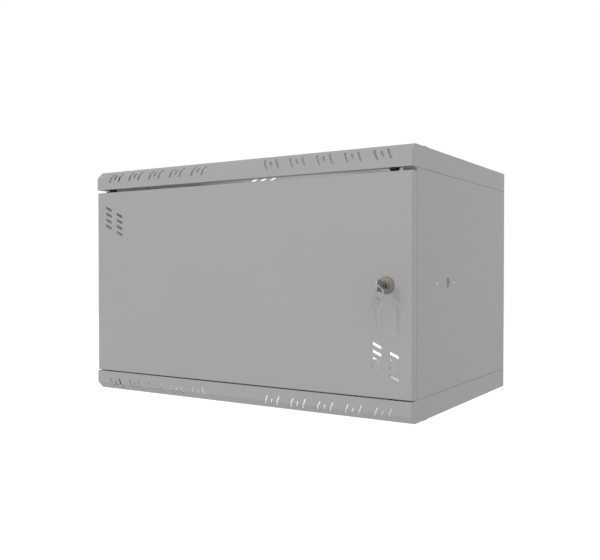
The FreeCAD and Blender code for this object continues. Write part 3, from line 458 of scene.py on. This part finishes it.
def make_lock_bezel(settings):
    """The domed bezel, and the barrel with two flats and a thread behind it."""
    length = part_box("lock_barrel")[1].y - JOINTS["lock_turn"].y
    form = bmesh.new()
    turned(form, BEZEL_PROFILE, settings.round_steps)
    barrel = bmesh.new()
    threaded_rod(barrel, BARREL_RADIUS, -length, length, settings.thread_pitch,
                 settings.round_steps)
    for side in (1, -1):
        geom = list(barrel.verts) + list(barrel.edges) + list(barrel.faces)
        cut = bmesh.ops.bisect_plane(barrel, geom=geom,
                                     plane_co=(0, side * BARREL_FLATS / 2, 0),
                                     plane_no=(0, side, 0), clear_outer=True)
        loop = [item for item in cut["geom_cut"] if isinstance(item, bmesh.types.BMEdge)]
        bmesh.ops.holes_fill(barrel, edges=loop)
    mesh = bpy.data.meshes.new("lock_thread")
    barrel.to_mesh(mesh)
    barrel.free()
    form.from_mesh(mesh)
    bpy.data.meshes.remove(mesh)
    bmesh.ops.transform(form, matrix=lock_place(), verts=form.verts)
    put_in_scene(form, "lock_bezel", "lock_barrel")


def make_softened(name, node, width):
    """A CAD piece with its edges broken, as stamping and tumbling leave them."""
    form = merged_form(node)
    break_edges(form, width)
    put_in_scene(form, name, node, crease=40)


def make_stamped_key(name, node, place):
    """A key with a raised rim, sunk faces and a blade ground narrower than its blank."""
    form = merged_form(node)
    bmesh.ops.transform(form, matrix=place.inverted(), verts=form.verts)
    blade = [vert for vert in form.verts if vert.co.y > SHOULDER]
    for vert in blade:
        vert.co.z *= BLADE_WIDTH_SHARE
        vert.co.y = SHOULDER + BLADE_LENGTH_SHARE * (vert.co.y - SHOULDER)
    break_edges(form, KEY_EDGE, segments=3)
    flats = [face for face in form.faces if abs(face.normal.x) > 0.99]
    bmesh.ops.inset_region(form, faces=flats, thickness=KEY_RIM, depth=-KEY_SUNK,
                           use_even_offset=True)
    bmesh.ops.transform(form, matrix=place, verts=form.verts)
    put_in_scene(form, name, node, crease=40)


def key_in_lock_place():
    """Local Y leads to the tip; the origin is the ring's hole."""
    low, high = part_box("key_in_lock")
    middle = (low + high) / 2
    return Matrix.Translation((middle.x, low.y + BOW_END, middle.z))


def spare_key_place():
    """The same for the key that hangs down, which is turned about the upright."""
    low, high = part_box("spare_key")
    middle = (low + high) / 2
    turn = math.radians(SPARE_KEY_TURN)
    across = Vector((math.cos(turn), math.sin(turn), 0))
    down = Vector((0, 0, -1))
    axes = Matrix((down.cross(across), down, across)).transposed().to_4x4()
    return Matrix.Translation((middle.x, middle.y, high.z - BOW_END)) @ axes


def make_split_ring():
    """Two turns of flattened wire, wound side by side."""
    form = bmesh.new()
    wire = bmesh.ops.create_circle(form, radius=WIRE_RADIUS, segments=WIRE_SIDES,
                                   cap_ends=True)
    bmesh.ops.rotate(form, verts=wire["verts"], cent=(0, 0, 0),
                     matrix=Matrix.Rotation(math.radians(90), 3, "X"))
    bmesh.ops.scale(form, verts=wire["verts"], vec=(WIRE_WIDTH_SHARE, 1, 1))
    bmesh.ops.translate(form, verts=wire["verts"], vec=(RING_RADIUS, 0, -WIRE_RADIUS))
    bmesh.ops.spin(form, geom=list(form.verts) + list(form.edges) + list(form.faces),
                   cent=(0, 0, 0), axis=(0, 0, 1), dvec=(0, 0, 2 * WIRE_RADIUS / RING_STEPS),
                   angle=RING_TURNS * math.tau, steps=RING_STEPS)
    low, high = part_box("key_ring")
    place = Matrix.Translation((low + high) / 2) @ Matrix.Rotation(math.radians(90), 4, "X")
    bmesh.ops.transform(form, matrix=place, verts=form.verts)
    put_in_scene(form, "split_ring", "key_ring", crease=50)


class CABINET_OT_make_lock(bpy.types.Operator):
    """Make the cam lock: bezel, plug, nut, cam and screw"""
    bl_idname = "cabinet.make_lock"
    bl_label = "Cam Lock"

    def execute(self, context):
        settings = context.scene.cabinet_parts
        make_lock_bezel(settings)
        make_softened("keyed_plug", "lock_plug", PLUG_EDGE)
        make_softened("thin_lock_nut", "lock_nut", LOCK_NUT_EDGE)
        make_softened("lock_cam_plate", "lock_cam", settings.broken_edge)
        make_softened("cam_screw_head", "cam_screw", CAM_SCREW_EDGE)
        return {"FINISHED"}


class CABINET_OT_make_keys(bpy.types.Operator):
    """Make the key in the lock, the split ring and the spare key"""
    bl_idname = "cabinet.make_keys"
    bl_label = "Keys and Ring"

    def execute(self, context):
        make_stamped_key("key_in_the_lock", "key_in_lock", key_in_lock_place())
        make_stamped_key("hanging_key", "spare_key", spare_key_place())
        make_split_ring()
        return {"FINISHED"}


# Hinges and fasteners ----------------------------------------------------------------

LIP_EDGE = 158.8 * MM      # height of the upper lip's lower face; the lower lip mirrors it
PIN_BORE = 3.06            # radius of a bush's bore, in millimetres
SHANK_RADIUS = 4.95        # of a bush where it goes through the lip, in millimetres
# (radius in millimetres, share of the nose's depth) from a bush's tip to the lip.
NOSE_PROFILE = [(PIN_BORE, 1), (4.4, 1), (5.6, 0.86), (6.6, 0.62), (7.1, 0.34), (7.2, 0.12),
                (7.1, 0), (SHANK_RADIUS, 0)]
# (radius, height) in millimetres over a hinge pin's head.
PIN_HEAD_PROFILE = [(0, 0), (4.8, 0), (5.5, 0.7), (5.5, 2.1), (5.1, 2.5), (3, 2.5)]

M6_RADIUS = 3 * MM
M6_FLATS = 10 * MM
M6_HEAD = 4 * MM
M6_SHANK = 11 * MM
M6_NUT = 5 * MM
HEX_CHAMFER = 0.5 * MM

M4_RADIUS = 1.95 * MM
M4_PITCH = 0.7 * MM
M4_HEAD = 2.2 * MM
M4_HEAD_STEPS = 32
M4_SHANK_STEPS = 20
SOCKET_RADIUS = 1.6        # in millimetres, over the corners
SOCKET_RIM = 0.1           # height of its rim in the crowned head, in millimetres
SOCKET_DEPTH = 1.3 * MM
# (radius, height) in millimetres from the socket's rim over the head to the shank.
PAN_HEAD_PROFILE = [(SOCKET_RADIUS, SOCKET_RIM), (2.7, 0), (3.6, 0.5), (4, 1.3), (4, 2.2),
                    (1.9, 2.2)]
EARTH_NUT_EDGE = 0.4 * MM


def make_bush(node, settings):
    """A nylon bush: a rounded nose on the door's side of the lip, and a shank through it."""
    low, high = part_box(node)
    above = low.z > 0
    lip = LIP_EDGE if above else -LIP_EDGE
    nose = abs((low.z if above else high.z) - lip) / MM
    reach = abs((high.z if above else low.z) - lip) / MM
    outside = [(radius, -share * nose) for radius, share in NOSE_PROFILE]
    collar = [(SHANK_RADIUS, reach - 0.5), (4.5, reach), (3.3, reach), (PIN_BORE, reach - 0.3)]
    form = bmesh.new()
    turned(form, outside + collar + outside[:1], settings.round_steps)
    middle = (low + high) / 2
    place = Matrix.Translation((middle.x, middle.y, lip))
    if not above:
        place = place @ Matrix.Rotation(math.pi, 4, "X")
    bmesh.ops.transform(form, matrix=place, verts=form.verts)
    put_in_scene(form, f"{node}_moulding", node)


def make_hinge_pin(node, settings):
    """A headed steel pin with a chamfered tip."""
    low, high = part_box(node)
    above = low.z > 0
    length = (high.z - low.z) / MM
    tip = [(3, length - 1.2), (2, length), (0, length)]
    form = bmesh.new()
    turned(form, PIN_HEAD_PROFILE + tip, settings.round_steps)
    middle = (low + high) / 2
    place = Matrix.Translation((middle.x, middle.y, low.z if above else high.z))
    if not above:
        place = place @ Matrix.Rotation(math.pi, 4, "X")
    bmesh.ops.transform(form, matrix=place, verts=form.verts)
    put_in_scene(form, f"{node}_turned", node)


def make_rail_bolts(settings):
    """Eight hexagon bolts: bevelled heads and threaded shanks."""
    form = bmesh.new()
    hexagon_block(form, M6_FLATS, 0, M6_HEAD, HEX_CHAMFER)
    threaded_rod(form, M6_RADIUS, M6_HEAD, M6_SHANK, settings.thread_pitch)
    places = []
    for low, high in solids_of("rail_bolts"):
        middle = (low + high) / 2
        outward = 1 if middle.x > 0 else -1
        head = low.x if outward > 0 else high.x
        places.append(Matrix.Translation((head, middle.y, middle.z))
                      @ Matrix.Rotation(outward * math.radians(90), 4, "Y"))
    moved_copies(form, places)
    put_in_scene(form, "rail_bolts_threaded", "rail_bolts")


def make_rail_nuts():
    """Eight hexagon nuts with bevelled rims."""
    form = bmesh.new()
    hexagon_block(form, M6_FLATS, -M6_NUT / 2, M6_NUT / 2, HEX_CHAMFER)
    places = [Matrix.Translation((low + high) / 2) @ Matrix.Rotation(math.radians(90), 4, "Y")
              for low, high in solids_of("rail_nuts")]
    moved_copies(form, places)
    put_in_scene(form, "rail_nuts_bevelled", "rail_nuts")


def make_plate_screws(node):
    """Four pan head screws with hexagon sockets, and threaded shanks through the sheet."""
    boxes = solids_of(node)
    length = (boxes[0][1] - boxes[0][0]).z
    form = bmesh.new()
    turned(form, PAN_HEAD_PROFILE, M4_HEAD_STEPS)
    threaded_rod(form, M4_RADIUS, M4_HEAD, length - M4_HEAD, M4_PITCH, M4_SHANK_STEPS)
    socket = bmesh.ops.create_circle(form, radius=SOCKET_RADIUS * MM, segments=6,
                                     cap_ends=True)
    bmesh.ops.translate(form, verts=socket["verts"],
                        vec=(0, 0, SOCKET_RIM * MM + SOCKET_DEPTH))
    rim = [edge for edge in form.edges if edge.is_boundary
           and all(abs(vert.co.z - SOCKET_RIM * MM) < LEVEL_GAP for vert in edge.verts)]
    floor = [edge for edge in form.edges
             if all(vert in socket["verts"] for vert in edge.verts)]
    bmesh.ops.bridge_loops(form, edges=rim + floor)
    places = []
    for low, high in boxes:
        middle = (low + high) / 2
        if middle.z > 0:
            places.append(Matrix.Translation((middle.x, middle.y, low.z)))
        else:
            places.append(Matrix.Translation((middle.x, middle.y, high.z))
                          @ Matrix.Rotation(math.pi, 4, "X"))
    moved_copies(form, places)
    put_in_scene(form, f"{node}_pan_head", node)


def make_earth_stud(node, axis, settings):
    """A threaded stud, along Y on the door or up Z from the floor."""
    low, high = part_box(node)
    middle = (low + high) / 2
    form = bmesh.new()
    length = (high - low).y if axis == "Y" else (high - low).z
    threaded_rod(form, M6_RADIUS, 0, length, settings.thread_pitch)
    if axis == "Y":
        place = (Matrix.Translation((middle.x, low.y, middle.z))
                 @ Matrix.Rotation(math.radians(-90), 4, "X"))
    else:
        place = Matrix.Translation((middle.x, middle.y, low.z))
    bmesh.ops.transform(form, matrix=place, verts=form.verts)
    put_in_scene(form, f"{node}_threaded", node)


class CABINET_OT_make_hinges(bpy.types.Operator):
    """Make the four nylon bushes and the two hinge pins"""
    bl_idname = "cabinet.make_hinges"
    bl_label = "Hinge Bushes and Pins"

    def execute(self, context):
        settings = context.scene.cabinet_parts
        for node in BODIES:
            if node.endswith("_bush"):
                make_bush(node, settings)
            elif node.endswith("_hinge_pin"):
                make_hinge_pin(node, settings)
        return {"FINISHED"}


class CABINET_OT_make_fasteners(bpy.types.Operator):
    """Make the rail bolts and nuts, the plate screws and the earthing studs"""
    bl_idname = "cabinet.make_fasteners"
    bl_label = "Fasteners"

    def execute(self, context):
        settings = context.scene.cabinet_parts
        make_rail_bolts(settings)
        make_rail_nuts()
        make_plate_screws("top_cable_plate_screws")
        make_plate_screws("bottom_cable_plate_screws")
        make_earth_stud("door_earth_stud", "Y", settings)
        make_earth_stud("floor_earth_stud", "Z", settings)
        make_softened("door_earth_nut_bevelled", "door_earth_nut", EARTH_NUT_EDGE)
        make_softened("floor_earth_nut_bevelled", "floor_earth_nut", EARTH_NUT_EDGE)
        return {"FINISHED"}


# Sheet metal -------------------------------------------------------------------------

CLIP_EDGE = 0.5 * MM


class CABINET_OT_dress_steelwork(bpy.types.Operator):
    """Give the folded sheet steel pieces their powder coat"""
    bl_idname = "cabinet.dress_steelwork"
    bl_label = "Powder Coated Steelwork"

    def execute(self, context):
        dress(*[node for node, slot in SLOTS.items() if slot == "grey_powder_coat"])
        return {"FINISHED"}


class CABINET_OT_dress_rails(bpy.types.Operator):
    """Give the rails and channels their zinc plate, and soften the nylon clips"""
    bl_idname = "cabinet.dress_rails"
    bl_label = "Rails, Channels and Clips"

    def execute(self, context):
        dress(*[node for node in BODIES if node.endswith(("_rail", "_channel"))])
        for node in BODIES:
            if node.endswith("_clip"):
                make_softened(f"{node}_moulding", node, CLIP_EDGE)
        return {"FINISHED"}


# Studio ------------------------------------------------------------------------------

CAMERA_PLACE = (0.7094, -1.3295, 0.0214)
CAMERA_DIP = 0.894         # degrees below the level
CAMERA_TURN = 32.3666      # degrees from the door's normal
SENSOR_WIDTH = 36.0        # in millimetres

# The surroundings are brightest this way: in front of the door and a little low.
BRIGHT_WAY = (0.0, -0.95, -0.3)

# Each lamp's place, the way that it points, and the length and width of its face.
SUN_PLACE = (-1.5, -2.5, 1.5)
SUN_WAY = (0.65, 1.0, -0.54)
SUN_ANGLE = 4.5            # degrees across; a wider one has softer shadows
INSIDE_PLACE = (0.0, -0.29, 0.13)
INSIDE_WAY = (0.0, 0.25, -1.0)
INSIDE_SIZE = (0.44, 0.14)
INSIDE_SPREAD = 130        # degrees; a wider one leaves bright patches on the side panels
BACK_PLACE = (0.0, 0.01, 0.0)
BACK_WAY = (0.0, -1.0, 0.0)
BACK_SIZE = (0.52, 0.3)

FLOOR_COLOUR = "#F8F8F8"
FLOOR_HEIGHT = -1.1
FLOOR_REACH = 12.0         # half the floor's side
FLOOR_LIFT = 0.42          # the light that lifts a lit floor to white for the camera


def place_camera(lens):
    """The camera stands to the right of the door, at about the lock's height."""
    data = bpy.data.cameras.new("camera")
    data.lens = lens
    data.sensor_width = SENSOR_WIDTH
    camera = bpy.data.objects.new("camera", data)
    camera.location = CAMERA_PLACE
    camera.rotation_euler = (math.radians(90 - CAMERA_DIP), 0.0, math.radians(CAMERA_TURN))
    bpy.context.scene.collection.objects.link(camera)
    bpy.context.scene.camera = camera


def light_world(strength, front):
    """Soft light, brightest in front, and plain white wherever the surroundings show."""
    world = bpy.data.worlds.new("white_surroundings")
    world.use_nodes = True
    bpy.context.scene.world = world
    tree = world.node_tree
    tree.nodes.clear()
    ray = add_node(tree, "ShaderNodeLightPath")
    seen = ray.outputs["Is Camera Ray"]
    for kind in ("Is Glossy Ray", "Is Transmission Ray"):
        either = add_node(tree, "ShaderNodeMath", {"operation": "MAXIMUM"})
        tree.links.new(seen, either.inputs[0])
        tree.links.new(ray.outputs[kind], either.inputs[1])
        seen = either.outputs[0]
    way = add_node(tree, "ShaderNodeTexCoord")
    facing = add_node(tree, "ShaderNodeVectorMath", {"operation": "DOT_PRODUCT"})
    tree.links.new(way.outputs["Object"], facing.inputs[0])
    facing.inputs[1].default_value = BRIGHT_WAY
    level = add_node(tree, "ShaderNodeMapRange",
                     inputs={"Value": facing.outputs["Value"], "To Min": strength,
                             "To Max": strength * (1 + front)})
    lit = add_node(tree, "ShaderNodeBackground",
                   inputs={"Color": WHITE, "Strength": level.outputs["Result"]})
    white = add_node(tree, "ShaderNodeBackground", inputs={"Color": WHITE})
    mix = add_node(tree, "ShaderNodeMixShader", inputs={"Fac": seen})
    tree.links.new(lit.outputs[0], mix.inputs[1])
    tree.links.new(white.outputs[0], mix.inputs[2])
    add_node(tree, "ShaderNodeOutputWorld", inputs={"Surface": mix.outputs[0]})


def add_lamp(name, kind, location, direction, **settings):
    """A lamp at a place, pointing along a direction."""
    data = bpy.data.lights.new(name, kind)
    for setting, amount in settings.items():
        setattr(data, setting, amount)
    lamp = bpy.data.objects.new(name, data)
    lamp.location = location
    lamp.rotation_euler = Vector(direction).to_track_quat("-Z", "Y").to_euler()
    bpy.context.scene.collection.objects.link(lamp)
    return lamp


def place_lamps(settings):
    """A soft sun from the upper left, and two soft lights that reach the inside."""
    add_lamp("upper_left_sun", "SUN", SUN_PLACE, SUN_WAY,
             energy=settings.sun, angle=math.radians(SUN_ANGLE))
    inside = add_lamp("light_inside", "AREA", INSIDE_PLACE, INSIDE_WAY,
                      energy=settings.inside, shape="RECTANGLE", size=INSIDE_SIZE[0],
                      size_y=INSIDE_SIZE[1], spread=math.radians(INSIDE_SPREAD))
    back = add_lamp("light_from_open_back", "AREA", BACK_PLACE, BACK_WAY,
                    energy=settings.back, shape="RECTANGLE", size=BACK_SIZE[0],
                    size_y=BACK_SIZE[1])
    for lamp in (inside, back):
        lamp.visible_camera = False
        lamp.visible_glossy = False


def lay_floor():
    """A white floor of matt painted board, well below the hanging cabinet."""
    mesh = bpy.data.meshes.new("floor")
    form = bmesh.new()
    bmesh.ops.create_grid(form, x_segments=1, y_segments=1, size=FLOOR_REACH)
    bmesh.ops.translate(form, verts=form.verts, vec=(0, 0, FLOOR_HEIGHT))
    form.to_mesh(mesh)
    form.free()
    floor = bpy.data.objects.new("floor", mesh)
    bpy.context.scene.collection.objects.link(floor)
    material, tree, surface = start_material(
        "white_floor", Base_Color=linear(FLOOR_COLOUR), Roughness=0.9)
    # A little light of its own, for the camera alone, lifts the floor to white and leaves
    # the cabinet's shadow on it.
    ray = add_node(tree, "ShaderNodeLightPath")
    lift = add_node(tree, "ShaderNodeEmission",
                    inputs={"Color": WHITE, "Strength": FLOOR_LIFT})
    dark = add_node(tree, "ShaderNodeEmission", inputs={"Strength": 0.0})
    own = add_node(tree, "ShaderNodeMixShader", inputs={"Fac": ray.outputs["Is Camera Ray"]})
    tree.links.new(dark.outputs[0], own.inputs[1])
    tree.links.new(lift.outputs[0], own.inputs[2])
    both = add_node(tree, "ShaderNodeAddShader")
    tree.links.new(surface.outputs[0], both.inputs[0])
    tree.links.new(own.outputs[0], both.inputs[1])
    tree.links.new(both.outputs[0], tree.nodes["Material Output"].inputs["Surface"])
    mesh.materials.append(material)


class CABINET_OT_set_studio(bpy.types.Operator):
    """Set up the camera, the lamps and the white surroundings"""
    bl_idname = "cabinet.set_studio"
    bl_label = "Studio"

    def execute(self, context):
        settings = context.scene.cabinet_studio
        place_camera(settings.lens)
        light_world(settings.sky, settings.front)
        place_lamps(settings)
        lay_floor()
        context.scene.view_settings.view_transform = "Standard"
        return {"FINISHED"}


# Panel and registration --------------------------------------------------------------

OPERATORS = (CABINET_OT_dress_steelwork, CABINET_OT_dress_rails, CABINET_OT_make_lock,
             CABINET_OT_make_keys, CABINET_OT_make_hinges, CABINET_OT_make_fasteners,
             CABINET_OT_set_studio)


class VIEW3D_PT_network_cabinet(bpy.types.Panel):
    bl_label = "Network Cabinet"
    bl_idname = "VIEW3D_PT_network_cabinet"
    bl_space_type = "VIEW_3D"
    bl_region_type = "UI"
    bl_category = "Cabinet"

    def draw(self, context):
        scene = context.scene
        for settings in (scene.cabinet_finish, scene.cabinet_parts, scene.cabinet_studio):
            for name in settings.__annotations__:
                self.layout.prop(settings, name)
        for operator in OPERATORS:
            self.layout.operator(operator.bl_idname)


CLASSES = (CabinetFinishSettings, CabinetPartsSettings, CabinetStudioSettings, *OPERATORS,
           VIEW3D_PT_network_cabinet)


def register():
    for item in CLASSES:
        bpy.utils.register_class(item)
    bpy.types.Scene.cabinet_finish = PointerProperty(type=CabinetFinishSettings)
    bpy.types.Scene.cabinet_parts = PointerProperty(type=CabinetPartsSettings)
    bpy.types.Scene.cabinet_studio = PointerProperty(type=CabinetStudioSettings)


def unregister():
    del bpy.types.Scene.cabinet_studio
    del bpy.types.Scene.cabinet_parts
    del bpy.types.Scene.cabinet_finish
    for item in reversed(CLASSES):
        bpy.utils.unregister_class(item)


def main():
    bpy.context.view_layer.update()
    register()
    bpy.ops.cabinet.dress_steelwork()
    bpy.ops.cabinet.dress_rails()
    bpy.ops.cabinet.make_lock()
    bpy.ops.cabinet.make_keys()
    bpy.ops.cabinet.make_hinges()
    bpy.ops.cabinet.make_fasteners()
    bpy.ops.cabinet.set_studio()


if __name__ == "__main__":
    main()
